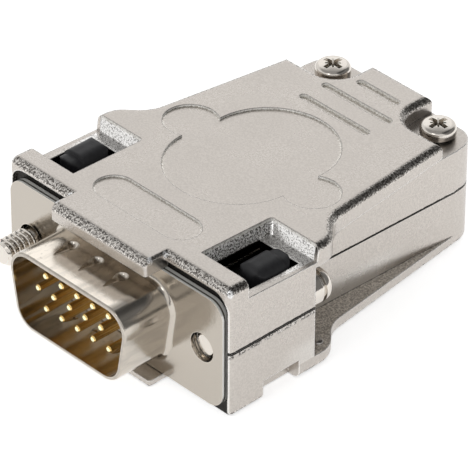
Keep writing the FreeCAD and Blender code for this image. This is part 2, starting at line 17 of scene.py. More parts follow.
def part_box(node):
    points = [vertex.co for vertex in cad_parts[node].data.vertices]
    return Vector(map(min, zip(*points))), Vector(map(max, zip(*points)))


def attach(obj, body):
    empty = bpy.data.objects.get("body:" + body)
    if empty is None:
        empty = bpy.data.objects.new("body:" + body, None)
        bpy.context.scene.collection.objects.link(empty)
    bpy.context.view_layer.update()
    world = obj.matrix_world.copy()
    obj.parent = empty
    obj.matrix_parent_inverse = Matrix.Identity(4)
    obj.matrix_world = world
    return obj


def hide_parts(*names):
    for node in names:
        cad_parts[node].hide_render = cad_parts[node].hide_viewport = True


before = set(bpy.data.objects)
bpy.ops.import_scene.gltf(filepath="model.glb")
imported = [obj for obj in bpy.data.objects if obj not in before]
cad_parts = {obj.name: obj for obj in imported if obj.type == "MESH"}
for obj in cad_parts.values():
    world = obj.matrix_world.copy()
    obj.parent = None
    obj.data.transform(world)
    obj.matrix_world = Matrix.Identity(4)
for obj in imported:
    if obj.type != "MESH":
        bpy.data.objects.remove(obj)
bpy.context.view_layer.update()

LOG = logging.getLogger("plug")
Piece = bpy.types.Object
Colour = tuple[float, float, float]
Place = tuple[float, float, float]
# Where a ramp starts and ends, and what it gives there, or where a band does and how softly
Span = tuple[float, ...]

MM = 0.001
WHITE: Colour = (1.0, 1.0, 1.0)
SMOOTH_DEGREES = 40.0

# Places on the castings, in millimetres in the part's frame. The glints, painted highlights, mirror to the other
# side.
TOP_Z = 14.888
TOP_FALL = 0.0325
SEAM_Z = 7.275
SEAM_STEP = 0.5
BLOCK_REAR_Y = -4.85
POCKET_DEPTH = 1.86
FLANGE_SEAT_Y = -16.0
FLANGE_FRONT_Y = -16.85
FLANGE_MIDDLE_Z = 7.215
GLINTS = (
    (6.72, -18.3, 15.2), (6.95, -16.4, 15.25), (15.75, -16.15, 14.95), (9.15, -4.35, 14.2),
    (9.15, -4.35, 13.6), (15.35, -4.3, 14.0), (15.35, -4.3, 13.5),
)


def arithmetic(operation: str, swapped: bool = False) -> Callable[..., Wire]:
    """Makes a wire's operator.

    Args:
        operation: the Math node's operation.
        swapped: whether the wire is the second of the two numbers.

    Returns:
        The operator's method.
    """
    def apply(wire: Wire, other: object = 0.0) -> Wire:
        first, second = (other, wire) if swapped else (wire, other)
        return wire.tree.math(operation, first, second)
    return apply


@dataclass(eq=False)
class Wire:
    """A node's output that can be reckoned with. Of two masks, * gives what both cover and | what either does."""

    tree: Tree
    socket: bpy.types.NodeSocket

    __add__ = __radd__ = arithmetic("ADD")
    __sub__ = arithmetic("SUBTRACT")
    __rsub__ = arithmetic("SUBTRACT", swapped=True)
    __mul__ = __rmul__ = arithmetic("MULTIPLY")
    __truediv__ = arithmetic("DIVIDE")
    __rtruediv__ = arithmetic("DIVIDE", swapped=True)
    __or__ = arithmetic("MAXIMUM")
    __and__ = arithmetic("MINIMUM")
    __lt__ = arithmetic("LESS_THAN")
    __abs__ = arithmetic("ABSOLUTE")

    def ramp(self, low: float, high: float, to_low: float = 0.0, to_high: float = 1.0) -> Wire:
        """Maps a range of values smoothly to another.

        Args:
            low: where the source range starts.
            high: where it ends.
            to_low: what the start becomes.
            to_high: what the end becomes.

        Returns:
            The mapped value.
        """
        inputs = {"Value": self, "From Min": low, "From Max": high, "To Min": to_low, "To Max": to_high}
        return self.tree.node("MapRange", inputs, interpolation_type="SMOOTHSTEP")["Result"]

    def band(self, low: float, high: float, soft: float = 0.2) -> Wire:
        """Gives one between two values, with soft ends.

        Args:
            low: where the band starts.
            high: where it ends.
            soft: how far each end takes to fade.

        Returns:
            The mask.
        """
        return self.ramp(low - soft, low) * self.ramp(high, high + soft, 1.0, 0.0)


@dataclass
class Ports:
    """A node's outputs as wires, by name or number."""

    tree: Tree
    outputs: bpy.types.NodeOutputs

    def __getitem__(self, port: str | int) -> Wire:
        """Gives one output."""
        return Wire(self.tree, self.outputs[port])


@dataclass
class Tree:
    """Short hand for wiring one node tree."""

    tree: bpy.types.NodeTree

    def put(self, socket: bpy.types.NodeSocket, value: object) -> None:
        """Links a wire to an input, or sets the input's own value."""
        if isinstance(value, Wire):
            self.tree.links.new(value.socket, socket)
        elif isinstance(value, tuple) and len(value) == 3 and socket.type == "RGBA":
            socket.default_value = (*value, 1.0)
        else:
            socket.default_value = value

    def node(self, kind: str, inputs: dict[str | int, object], **settings: object) -> Ports:
        """Adds a node.

        Args:
            kind: the node's type name, without the ShaderNode prefix.
            inputs: wires or values for its inputs, by name or number.
            settings: properties of the node, by name.

        Returns:
            Its outputs.
        """
        made = self.tree.nodes.new("ShaderNode" + kind)
        for name, value in settings.items():
            setattr(made, name, value)
        for name, value in inputs.items():
            self.put(made.inputs[name], value)
        return Ports(self, made.outputs)

    def math(self, operation: str, first: object, second: object = 0.0) -> Wire:
        """Adds one step of arithmetic.

        Args:
            operation: the Math node's operation.
            first: a wire or number.
            second: a wire or number.

        Returns:
            The result.
        """
        return self.node("Math", {0: first, 1: second}, operation=operation)[0]

    def mix(self, factor: object, first: object, second: object) -> Wire:
        """Mixes two colours.

        Args:
            factor: how much of the second, from 0 to 1.
            first: a colour or its wire.
            second: a colour or its wire.

        Returns:
            The mixed colour.
        """
        return self.node("Mix", {0: factor, 6: first, 7: second}, data_type="RGBA")[2]

    def coats(self, colour: object, *coats: tuple[Wire, object]) -> Wire:
        """Lays coats over a colour.

        Args:
            colour: the lowest colour or its wire.
            coats: pairs of a mask and the colour that shows where it is one, from the lowest up.

        Returns:
            The colour with its coats.
        """
        for mask, coat in coats:
            colour = self.mix(mask, colour, coat)
        return colour

    def vector(self, x: object, y: object, z: object) -> Wire:
        """Joins x, y and z to a vector."""
        return self.node("CombineXYZ", {"X": x, "Y": y, "Z": z})[0]

    def split(self, vector: Wire) -> Ports:
        """Splits a vector into its x, y and z."""
        return self.node("SeparateXYZ", {0: vector})

    def place(self, per_mm: object = 1.0) -> Wire:
        """Gives the place on the part as a vector.

        Args:
            per_mm: how many units the vector gains for each millimetre.

        Returns:
            The vector.
        """
        scale = self.math("MULTIPLY", per_mm, 1 / MM)
        where = self.node("TexCoord", {})["Object"]
        return self.node("VectorMath", {0: where, "Scale": scale}, operation="SCALE")[0]

    def noise(self, where: Wire, scale: float = 1.0, detail: float = 3.0, roughness: float = 0.55) -> Wire:
        """Adds soft noise.

        Args:
            where: the place it is read at.
            scale: waves for each unit of the place.
            detail: how many finer octaves it has.
            roughness: how strong they are.

        Returns:
            The noise, around a half.
        """
        return self.node("TexNoise", {"Vector": where, "Scale": scale, "Detail": detail,
                                      "Roughness": roughness})["Fac"]


class Group:
    """A shader group with named ports, built once and placed in any number of materials."""

    def __init__(self, name: str, inputs: dict[str, float], outputs: tuple[str, ...]) -> None:
        """Makes the empty group.

        Args:
            name: the group's name.
            inputs: its input numbers and their defaults.
            outputs: its outputs. One named Normal is a vector, the others are numbers.
        """
        self.tree = bpy.data.node_groups.new(name, "ShaderNodeTree")
        for port, value in inputs.items():
            made = self.tree.interface.new_socket(port, in_out="INPUT", socket_type="NodeSocketFloat")
            made.default_value = value
        for port in outputs:
            kind = "NodeSocketVector" if port == "Normal" else "NodeSocketFloat"
            self.tree.interface.new_socket(port, in_out="OUTPUT", socket_type=kind)
        self.wires = Tree(self.tree)
        self.inputs = Ports(self.wires, self.tree.nodes.new("NodeGroupInput").outputs)
        self.outputs = self.tree.nodes.new("NodeGroupOutput").inputs

    def give(self, **values: Wire) -> None:
        """Feeds the group's outputs, by name."""
        for name, value in values.items():
            self.wires.put(self.outputs[name], value)

    def place(self, into: Tree, **values: object) -> Ports:
        """Places the group in a material.

        Args:
            into: the material's tree.
            values: the inputs by name, with underscores for spaces.

        Returns:
            The placed group's outputs.
        """
        return into.node("Group", {name.replace("_", " "): value for name, value in values.items()},
                         node_tree=self.tree)


class Effects:
    """The shared surface effects, each built when it is first used."""

    SHADE = (0.3, 0.7)
    FLECK = (0.45, 0.54)
    CRACK = (0.5, 0.57)
    EDGE = (0.995, 0.8)
    FLANK_ACROSS = (0.25, 0.5)
    FLANK_UP = (0.15, 0.35)
    SPECK = (0.68, 0.74)
    UP = (0.9, 0.995)
    TILT_OFF_SIDE = (0.06, 0.3)
    TILT_OFF_LEVEL = (0.998, 0.95)
    SIDE = (0.3, 0.06)
    ACROSS = (0.7, 0.95)
    FRONT = (-0.9, -0.99)
    OPEN = (0.06, 0.42)
    NOOK = (0.93, 0.72)
    WORN_SHEEN = (0.55, 0.9, 1.0, 0.0)
    SPOT = (1.0, 0.6)
    CHIP = (0.44, 0.5)
    CHIP_BAND = (-0.55, -0.1, 0.08)
    GRAIN_SHARE = 0.25
    SPECKS_PER_MM = 3.1
    GLINT_STRETCH = 0.6
    SEAM_WOBBLE = 0.16

    @cached_property
    def cast_skin(self) -> Group:
        """Lumps and grain that polishing leaves in a cast and plated surface."""
        group = Group("Cast skin", {"Lump Size": 0.45, "Grain Size": 0.08, "Lumps": 1.0, "Grain": 1.0},
                      ("Height", "Shade", "Fleck", "Crack"))
        wires, ports = group.wires, group.inputs
        lumps = wires.noise(wires.place(1.0 / ports["Lump Size"]), detail=2.5)
        grain = wires.noise(wires.place(1.0 / ports["Grain Size"]), detail=2.0)
        dots = wires.noise(wires.place(0.8 / ports["Lump Size"]), detail=4.0, roughness=0.8)
        group.give(Height=lumps * ports["Lumps"] + grain * ports["Grain"] * self.GRAIN_SHARE,
                   Shade=lumps.ramp(*self.SHADE), Fleck=dots.ramp(*self.FLECK), Crack=dots.ramp(*self.CRACK))
        return group

    @cached_property
    def edges(self) -> Group:
        """Softly rounded normals at the edges, and masks of all edges and of those that face sideways and up."""
        group = Group("Edges", {"Radius": 0.1}, ("Normal", "Edge", "Flank"))
        wires = group.wires
        rounded = wires.node("Bevel", {"Radius": group.inputs["Radius"] * MM}, samples=6)["Normal"]
        normal = wires.node("NewGeometry", {})["Normal"]
        level = wires.node("VectorMath", {0: rounded, 1: normal}, operation="DOT_PRODUCT")["Value"]
        across, _, up = wires.split(rounded)
        group.give(Normal=rounded, Edge=level.ramp(*self.EDGE),
                   Flank=abs(across).ramp(*self.FLANK_ACROSS) * up.ramp(*self.FLANK_UP))
        return group

    @cached_property
    def handling(self) -> Group:
        """Large soft patches, as handling and plating leave on a metal or plastic surface."""
        group = Group("Handling", {"Patch Size": 6.0, "Amount": 1.0}, ("Change", "Speck"))
        wires, ports = group.wires, group.inputs
        patches = wires.noise(wires.place(1.0 / ports["Patch Size"]), detail=4.0)
        specks = wires.noise(wires.place(self.SPECKS_PER_MM), detail=1.0)
        group.give(Change=(patches - 0.5) * ports["Amount"], Speck=specks.ramp(*self.SPECK))
        return group

    @cached_property
    def facing(self) -> Group:
        """How far the surface faces up, is rounded, or faces to the sides or the front."""
        group = Group("Facing", {}, ("Up", "Tilt", "Side", "Across", "Front"))
        normal = group.wires.node("NewGeometry", {})["True Normal"]
        across, along, up = group.wires.split(normal)
        level = abs(up)
        group.give(Up=up.ramp(*self.UP), Side=level.ramp(*self.SIDE),
                   Tilt=level.ramp(*self.TILT_OFF_SIDE) * level.ramp(*self.TILT_OFF_LEVEL),
                   Across=abs(across).ramp(*self.ACROSS), Front=along.ramp(*self.FRONT))
        return group

    @cached_property
    def corners(self) -> Group:
        """Masks for painted shade in narrow gaps (Open is nought there), for the sheltered hollows where polish
        doesn't reach, and for the sharp edges, which are painted brighter as partly wear and partly highlight.
        """
        group = Group("Corners", {"Reach": 1.5, "SheenReach": 0.2}, ("Open", "Nook", "Worn"))
        wires, ports = group.wires, group.inputs
        # Open: ambient occlusion, nought in narrow gaps, where the materials paint shade.
        shelter = wires.node("AmbientOcclusion", {"Distance": ports["Reach"] * MM}, samples=8)["AO"]
        # The ridge mask marks the sharp edges, which are painted brighter: partly wear, partly painted highlight.
        ridge = wires.node("AmbientOcclusion", {"Distance": ports["SheenReach"] * MM}, samples=8, inside=True,
                           only_local=True)["AO"]
        group.give(Open=shelter.ramp(*self.OPEN), Nook=shelter.ramp(*self.NOOK), Worn=ridge.ramp(*self.WORN_SHEEN))
        return group

    @cached_property
    def glints(self) -> Group:
        """Painted highlights: small white spots where three rounded faces of the casting meet, and down the
        pockets' corners.
        """
        group = Group("Glints", {"Radius": 0.38}, ("Spot",))
        wires = group.wires
        x, y, z = wires.split(wires.place())
        near = None
        for spot_x, spot_y, spot_z in GLINTS:
            apart = (abs(x) - spot_x, y - spot_y, (z - spot_z) * self.GLINT_STRETCH)
            square = apart[0] * apart[0] + apart[1] * apart[1] + apart[2] * apart[2]
            near = square if near is None else near & square
        group.give(Spot=(wires.math("SQRT", near) / group.inputs["Radius"]).ramp(*self.SPOT))
        return group

    @cached_property
    def seam(self) -> Group:
        """The joint between the cast halves, with the small chips that the tool leaves under it."""
        group = Group("Seam", {"Front Width": 0.19, "Rear Width": 0.135}, ("Line", "Chips"))
        wires, ports = group.wires, group.inputs
        where = wires.place()
        _, y, z = wires.split(where)
        rear = y.ramp(BLOCK_REAR_Y - 0.01, BLOCK_REAR_Y)
        front = 1.0 - rear
        wobble = (wires.noise(where, 2.5) - 0.5) * self.SEAM_WOBBLE
        above = z - (front * SEAM_STEP + SEAM_Z) - wobble * 0.5
        width = front * ports["Front Width"] + rear * ports["Rear Width"] + wobble * 0.6
        chips = wires.noise(where, 1.3, detail=2.0).ramp(*self.CHIP)
        group.give(Line=abs(above) < width, Chips=above.band(*self.CHIP_BAND) * chips * front)
        return group


@dataclass
class Shading:
    """The end of one material: its principled shader and its tree."""

    material: bpy.types.Material
    wires: Tree
    inputs: bpy.types.NodeInputs

    @classmethod
    def start(cls, name: str) -> Shading:
        """Makes a material that holds a principled shader alone."""
        material = bpy.data.materials.new(name)
        material.use_nodes = True
        nodes = material.node_tree.nodes
        nodes.clear()
        wires = Tree(material.node_tree)
        shader = nodes.new("ShaderNodeBsdfPrincipled")
        wires.node("OutputMaterial", {"Surface": Wire(wires, shader.outputs["BSDF"])})
        return cls(material, wires, shader.inputs)

    def set(self, **values: object) -> None:
        """Sets or links the shader's inputs, by name with underscores for spaces."""
        for name, value in values.items():
            self.wires.put(self.inputs[name.replace("_", " ")], value)

    def bump(self, height: Wire, depth: float, normal: Wire) -> None:
        """Feeds a height to the shader's normal.

        Args:
            height: the height, in units of the depth.
            depth: the depth in metres.
            normal: the normal that the bump starts from.
        """
        self.set(Normal=self.wires.node("Bump", {"Height": height, "Distance": depth, "Normal": normal})["Normal"])


class CastMasks(NamedTuple):
    """Where the casting has a look of its own, or where painted shade or light goes on it. Each mask is one there
    and nought elsewhere.
    """

    walls: Wire
    inner: Wire
    outer: Wire
    well: Wire
    ledge: Wire
    nub: Wire
    rims: Wire
    rim_tops: Wire
    nook: Wire
    channel: Wire
    line: Wire
    chips: Wire
    turned: Wire
    flat: Wire


@dataclass(frozen=True)
class CastNickel:
    """Satin nickel on a zinc casting: smooth flats, and sparkling lumps where polishing doesn't reach. Its colour
    also carries painted shade in gaps and wells, painted dark reflection on sideways fillets, painted light on the
    channel walls and painted highlights at edges and glints.
    """

    colour: Colour = (0.56, 0.52, 0.48)
    # Pale flecks, and the painted light on the channel walls.
    bright: Colour = (0.80, 0.765, 0.72)
    # Dark flecks, and the painted dark reflection on the sideways fillets.
    dark: Colour = (0.09, 0.08, 0.07)
    wall: Colour = (1.0, 0.985, 0.965)
    wall_shade: Colour = (0.36, 0.35, 0.335)
    inner_wall: Colour = (1.0, 0.985, 0.96)
    ledge: Colour = (1.0, 0.92, 0.82)
    ledge_shade: Colour = (0.50, 0.44, 0.38)
    rim: Colour = (1.0, 0.975, 0.92)
    rim_shade: Colour = (0.52, 0.48, 0.42)
    # Sharp edges: partly wear, partly painted highlight.
    edge: Colour = (0.95, 0.93, 0.90)
    # Near black: painted shade in gaps, wells and along rim tops, and the seam's dark joint.
    gap: Colour = (0.02, 0.018, 0.016)
    roughness: float = 0.28
    edge_roughness: float = 0.14
    rough_roughness: float = 0.24
    seam_roughness: float = 0.3
    wall_scatter: float = 0.2
    inner_scatter: float = 0.65
    ledge_scatter: float = 0.88
    rim_scatter: float = 0.6
    channel_scatter: float = 0.3
    glint_scatter: float = 0.4
    wall_lean: float = 0.75
    rim_lean: float = 0.25
    lump_size: float = 0.16
    grain_size: float = 0.12
    lump_depth: float = 0.13 * MM
    grain_share: float = 0.5
    grain_loss: float = 0.2
    edge_radius: float = 0.22
    edge_share: float = 0.7
    calm: float = 0.7
    outer_calm: float = 1.3
    turned_flecks: float = 0.95
    nook_flecks: float = 0.75
    least_flecks: float = 0.1
    rim_top_shade: float = 0.5
    flank_flecks: float = 0.6
    flank_least: float = 0.38
    wear_sheen: float = 0.75
    flat_sheen_loss: float = 0.65
    pocket_x: Span = (9.0, 15.4)
    pocket_y: Span = (-13.9, -4.2)
    wall_depth: Span = (0.12, POCKET_DEPTH, 0.06)
    floor_depth: Span = (POCKET_DEPTH - 0.2, POCKET_DEPTH + 0.3, 0.1)
    floor_fade: Span = (-11.0, -6.0, 0.25, 1.0)
    well_depth: Span = (POCKET_DEPTH + 0.22, 6.0, 0.1)
    seat_y: Span = (FLANGE_SEAT_Y - 0.08, FLANGE_SEAT_Y + 0.08, 0.03)
    ledge_depth: Span = (2.8, 3.2)
    ledge_y: Span = (BLOCK_REAR_Y - 0.2, BLOCK_REAR_Y + 0.1)
    nub_x: Span = (13.7, 15.1)
    nub_y: Span = (-3.7, -2.2)
    nub_z: Span = (1.9, 2.6, 0.04)
    rim_depth: Span = (-0.1, 0.32, 0.02)
    rim_top_depth: Span = (0.07, 0.03)
    recess_depth: Span = (0.16, 0.6, 0.05)
    channel_y: Span = (BLOCK_REAR_Y, 8.0, 6.0)
    channel_foot: Span = (1.82, 1.92)
    channel_head: Span = (5.0, 3.2)
    flat_y: Span = (-15.4, -15.0)
    flat_z: Span = (13.2, 13.4)

    def masks(self, effects: Effects, wires: Tree, edge: Wire, sheltered: Wire) -> CastMasks:
        """Masks the pockets, ledges, recesses, channels and seam of the castings.

        Args:
            effects: the shared effect groups.
            wires: the material's tree.
            edge: the mask of the edges.
            sheltered: the mask of what stands close to something else.

        Returns:
            The masks.
        """
        facing = effects.facing.place(wires)
        seam = effects.seam.place(wires)
        up, side, across, front = (facing[name] for name in ("Up", "Side", "Across", "Front"))
        x, y, z = wires.split(wires.place())
        depth = TOP_Z - y * TOP_FALL - z
        pocket = abs(x).band(*self.pocket_x) * y.band(*self.pocket_y)
        floor = pocket * up * depth.band(*self.floor_depth) * y.ramp(*self.floor_fade)
        walls = pocket * (1.0 - up) * depth.band(*self.wall_depth) | floor
        inner = walls * across
        rims = side * depth.band(*self.rim_depth)
        nub = abs(x).band(*self.nub_x) * y.band(*self.nub_y) * z.band(*self.nub_z)
        return CastMasks(
            walls=walls, inner=inner, outer=walls - inner, rims=rims, nub=nub,
            # Painted shade: the deep window under the pocket floor and the gap at the flange seat go black.
            well=pocket * depth.band(*self.well_depth) | front * y.band(*self.seat_y),
            ledge=up * depth.ramp(*self.ledge_depth) * y.ramp(*self.ledge_y),
            # Painted shade: a dark line along the top of the recess rims.
            rim_tops=rims * depth.ramp(*self.rim_top_depth),
            nook=up * sheltered * depth.band(*self.recess_depth),
            # Painted light: the channel walls above the ledge are made lighter, fading out higher up.
            channel=(side * across * y.band(*self.channel_y) * z.ramp(*self.channel_foot)
                     * z.ramp(*self.channel_head)),
            line=seam["Line"] * side, chips=seam["Chips"] * side,
            turned=(facing["Tilt"] | edge * self.edge_share) * (1.0 - nub),
            flat=(1.0 - side) * y.ramp(*self.flat_y) * z.ramp(*self.flat_z))

    def flecks(self, wires: Tree, at: CastMasks, skin: Ports) -> Wire:
        """Colours the flecks of the rough places, pale on dark.

        Args:
            wires: the material's tree.
            at: the casting's masks.
            skin: the placed cast skin group.

        Returns:
            The flecks' colour.
        """
        recess = at.rims | at.nook
        pale = wires.coats(self.bright, (at.ledge, self.ledge), (at.walls, self.wall), (at.inner, self.inner_wall),
                           (recess, self.rim))
        # Painted shade: the walls that face across keep the darkest fleck colour and the denser flecks, while the
        # rear walls get paler, sparser ones.
        shade = wires.coats(self.dark, (at.outer, self.wall_shade), (at.ledge, self.ledge_shade),
                            (recess, self.rim_shade))
        return wires.mix(wires.mix(at.outer | at.rims, skin["Fleck"], skin["Crack"]), pale, shade)

    def make(self, name: str, effects: Effects) -> bpy.types.Material:
        """Builds the material.

        Args:
            name: the material's name.
            effects: the shared effect groups.

        Returns:
            The material.
        """
        made = Shading.start(name)
        wires = made.wires
        edges = effects.edges.place(wires, Radius=self.edge_radius)
        patches = effects.handling.place(wires, Patch_Size=7.0, Amount=0.12)
        corners = effects.corners.place(wires, Reach=0.75, SheenReach=0.22)
        at = self.masks(effects, wires, edges["Edge"], corners["Nook"])
        rough = at.walls | at.ledge
        coarse = at.turned | at.chips | rough
        calmer = at.turned | at.outer * self.outer_calm
        skin = effects.cast_skin.place(wires, Lump_Size=self.lump_size, Grain_Size=self.grain_size,
                                       Lumps=coarse - calmer * self.calm,
                                       Grain=self.grain_share - coarse * self.grain_loss)
        # Painted highlights: white glints, broken by the cracks.
        glint = effects.glints.place(wires)["Spot"] * (1.0 - skin["Crack"])
        flecked = (at.turned * self.turned_flecks | at.chips | rough | at.rims | at.nook * self.nook_flecks
                   | self.least_flecks)
        # Painted dark reflection: fillets that face sideways and up go dark, apart from pocket walls and rims.
        flank = edges["Flank"] * (1.0 - (at.walls | at.rims))
        flank = flank * (skin["Fleck"] * self.flank_flecks + self.flank_least)
        # Painted highlight, partly wear: sharp edges lighter, less so on the flat tops.
        worn_sheen = corners["Worn"] * (self.wear_sheen - at.flat * self.flat_sheen_loss)
        # Over the base: painted light on the channel walls, the cast skin's flecks, painted dark reflection on the
        # sideways fillets and painted highlight, partly wear, on the sharp edges.
        colour = wires.coats(self.colour, (at.channel, self.bright), (flecked, self.flecks(wires, at, skin)),
                             (flank, self.dark), (worn_sheen, self.edge))
        # Painted shade: narrow gaps go near black, apart from the rims and nubs.
        colour = wires.mix(corners["Open"] | at.rims | at.nub, self.gap, colour)
        # Painted shade along the rims' tops, painted highlights at the glints, then the seam's dark joint and
        # painted shade in the wells.
        colour = wires.coats(colour, (at.rim_tops * self.rim_top_shade, self.gap), (glint, WHITE),
                             (at.line | at.well, self.gap))
        scatter = (at.walls * self.wall_scatter | at.inner * self.inner_scatter | at.ledge * self.ledge_scatter
                   | at.rims * self.rim_scatter | at.channel * self.channel_scatter | glint * self.glint_scatter)
        roughness = (patches["Change"] + self.roughness + at.turned * (self.edge_roughness - self.roughness)
                     + rough * (self.rough_roughness - self.roughness) + at.line * self.seam_roughness)
        made.set(Base_Color=colour, Metallic=1.0 - scatter, Roughness=roughness)
        upward = wires.vector(0.0, 0.0, at.walls * self.wall_lean + at.rims * self.rim_lean)
        leaning = wires.node("VectorMath", {0: edges["Normal"], 1: upward}, operation="ADD")[0]
        unit = wires.node("VectorMath", {0: leaning}, operation="NORMALIZE")[0]
        made.bump(skin["Height"], self.lump_depth, unit)
        return made.material


@dataclass(frozen=True)
class SheetRim:
    """The cut edges of the two stacked flange sheets, painted as highlights with painted shade between them, and
    the streaks that drawing leaves on the collar.
    """

    streaks_per_mm: Place = (1.3, 0.28, 1.3)
    streak: Span = (0.4, 0.68)
    streak_y: Span = (FLANGE_FRONT_Y - 0.4, FLANGE_FRONT_Y - 0.9)
    streak_share: float = 0.25
    streak_tone: float = 0.5
    edge_x: Span = (14.6, 14.9)
    edge_z: Span = (5.5, 5.8)
    first_sheet: Span = (0.26, 0.2)
    second_sheet: Span = (0.4, 0.46, 0.0, 0.8)
    # Tones of the painted shade between the sheets and of the painted highlight on their edges.
    gap_tone: float = 0.2
    edge_tone: float = 2.1
    edge_scatter: float = 0.8

    def over(self, wires: Tree, front: Wire, tin: SheetTin, colour: Wire) -> tuple[Wire, Wire]:
        """Adds the streaks, and the sheets' edges as painted highlight with painted shade between them.

        Args:
            wires: the material's tree.
            front: the mask of what faces to the front.
            tin: the sheet's finish.
            colour: the colour so far.

        Returns:
            The new colour and how metallic it is.
        """
        x, y, z = wires.split(wires.place())
        along = wires.vector(*(part * scale for part, scale in zip((x, y, z), self.streaks_per_mm)))
        streaks = wires.noise(along).ramp(*self.streak) * y.ramp(*self.streak_y) * self.streak_share
        # Painted highlight on the sheets' cut edges, painted shade in the gap between the sheets.
        rim = (abs(x).ramp(*self.edge_x) | abs(z - FLANGE_MIDDLE_Z).ramp(*self.edge_z)) * (1.0 - front)
        behind = y - FLANGE_FRONT_Y
        sheets = behind.ramp(*self.first_sheet) | behind.ramp(*self.second_sheet)
        cut = wires.mix(sheets, tin.toned(self.gap_tone), tin.toned(self.edge_tone))
        colour = wires.coats(colour, (streaks, tin.toned(self.streak_tone)), (rim, cut))
        return colour, 1.0 - rim * self.edge_scatter


@dataclass(frozen=True)
class SheetTin:
    """Bright tin or nickel on drawn or turned steel."""

    colour: Colour
    roughness: float
    depth: float = 0.02 * MM
    edge_radius: float = 0.06
    # Tone of the painted shade in crevices.
    crevice: float = 0.12
    # Tones for the painted light and shade on faces that look to the front and up.
    front_tone: float = 1.0
    level_tone: float = 1.0
    speck_share: float = 0.5
    speck_tone: float = 0.82
    worn_sheen_share: float = 0.5
    worn_sheen_tone: float = 1.5
    rim: SheetRim | None = None

    def toned(self, tone: float) -> Colour:
        """Makes the finish's colour lighter or darker, and never above white.

        Args:
            tone: what each part of the colour is multiplied by.

        Returns:
            The new colour.
        """
        return tuple(min(1.0, part * tone) for part in self.colour)

    def make(self, name: str, effects: Effects) -> bpy.types.Material:
        """Builds the material.

        Args:
            name: the material's name.
            effects: the shared effect groups.

        Returns:
            The material.
        """
        made = Shading.start(name)
        wires = made.wires
        edges = effects.edges.place(wires, Radius=self.edge_radius)
        patches = effects.handling.place(wires, Patch_Size=3.0, Amount=0.2)
        skin = effects.cast_skin.place(wires, Lump_Size=1.1, Grain_Size=0.06, Lumps=0.5, Grain=0.5)
        corners = effects.corners.place(wires, Reach=0.8, SheenReach=0.12)
        facing = effects.facing.place(wires)
        # Painted light and shade by facing: front faces take the front tone and upward faces the level tone; the
        # specks are the sheet's own tone.
        colour = wires.coats(self.colour, (facing["Front"], self.toned(self.front_tone)),
                             (facing["Up"], self.toned(self.level_tone)),
                             (patches["Speck"] * self.speck_share, self.toned(self.speck_tone)),
                             # Painted highlight, partly wear, on the sharp edges.
                             (corners["Worn"] * self.worn_sheen_share, self.toned(self.worn_sheen_tone)))
        # Painted shade: crevices darkened to the crevice tone.
        colour = wires.mix(corners["Open"], self.toned(self.crevice), colour)
        metal = 1.0
        if self.rim:
            colour, metal = self.rim.over(wires, facing["Front"], self, colour)
        made.set(Base_Color=colour, Metallic=metal, Roughness=patches["Change"] + self.roughness)
        made.bump(skin["Height"], self.depth, edges["Normal"])
        return made.material


@dataclass(frozen=True)
class Moulding:
    """Moulded plastic with a fine sparked surface."""

    colour: Colour
    roughness: float
    grain: float = 0.12
    depth: float = 0.012 * MM
    edge_radius: float = 0.1
    shade_gain: float = 1.25
    shade_lift: float = 0.004

    def make(self, name: str, effects: Effects) -> bpy.types.Material:
        """Builds the material.

        Args:
            name: the material's name.
            effects: the shared effect groups.

        Returns:
            The material.
        """
        made = Shading.start(name)
        wires = made.wires
        edges = effects.edges.place(wires, Radius=self.edge_radius)
        patches = effects.handling.place(wires, Patch_Size=2.0, Amount=0.3)
        skin = effects.cast_skin.place(wires, Lump_Size=0.6, Grain_Size=self.grain, Lumps=0.6, Grain=1.0)
        lighter = tuple(min(1.0, part * self.shade_gain + self.shade_lift) for part in self.colour)
        made.set(Base_Color=wires.mix(skin["Shade"], self.colour, lighter),
                 Roughness=patches["Change"] + self.roughness)
        made.bump(skin["Height"], self.depth, edges["Normal"])
        return made.material


class Finish(Enum):
    """The finishes, each under the name of its material slot in the record."""

    CAST = "cast_nickel"
    SHELL = "tinned_shell"
    INSULATOR = "insulator"
    GOLD = "gold_contact"
    SCREW = "screw_nickel"
    CLAMP = "clamp_steel"
    NYLON = "black_nylon"


class Wardrobe:
    """All the materials, made once and given to the pieces."""

    def __init__(self) -> None:
        """Makes every finish."""
        effects = Effects()
        recipes = {
            Finish.CAST: CastNickel(),
            # The shell's tops are painted lighter and its fronts darker; the contacts' front tips are painted near
            # white as a highlight.
            Finish.SHELL: SheetTin((0.56, 0.515, 0.455), 0.16, front_tone=0.87, level_tone=1.5, rim=SheetRim()),
            Finish.INSULATOR: Moulding((0.66, 0.62, 0.55), 0.55),
            Finish.GOLD: SheetTin((0.82, 0.57, 0.22), 0.14, depth=0.01 * MM, edge_radius=0.12, front_tone=3.0),
            Finish.SCREW: SheetTin((0.70, 0.655, 0.60), 0.13, crevice=0.35),
            Finish.CLAMP: SheetTin((0.60, 0.60, 0.60), 0.3),
            Finish.NYLON: Moulding((0.011, 0.011, 0.013), 0.52, grain=0.16, depth=0.035 * MM, edge_radius=0.4),
        }
        self.materials = {finish: recipe.make(finish.value, effects) for finish, recipe in recipes.items()}

    def dress(self, finish: Finish, *pieces: Piece | str) -> None:
        """Gives pieces one finish all over.

        Args:
            finish: what they are made of.
            pieces: new pieces, or the names of nodes of the frame.
        """
        for piece in pieces:
            slots = (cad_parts[piece] if isinstance(piece, str) else piece).data.materials
            slots.clear()
            slots.append(self.materials[finish])


def smooth_by_angle(piece: Piece) -> None:
    """Shades a mesh smooth, apart from its sharp edges.

    Args:
        piece: the mesh object.
    """
    shape = bmesh.new()
    shape.from_mesh(piece.data)
    limit = math.radians(SMOOTH_DEGREES)
    for face in shape.faces:
        face.smooth = True
    for edge in shape.edges:
        edge.smooth = len(edge.link_faces) == 2 and edge.calc_face_angle(0.0) < limit
    shape.to_mesh(piece.data)
    shape.free()


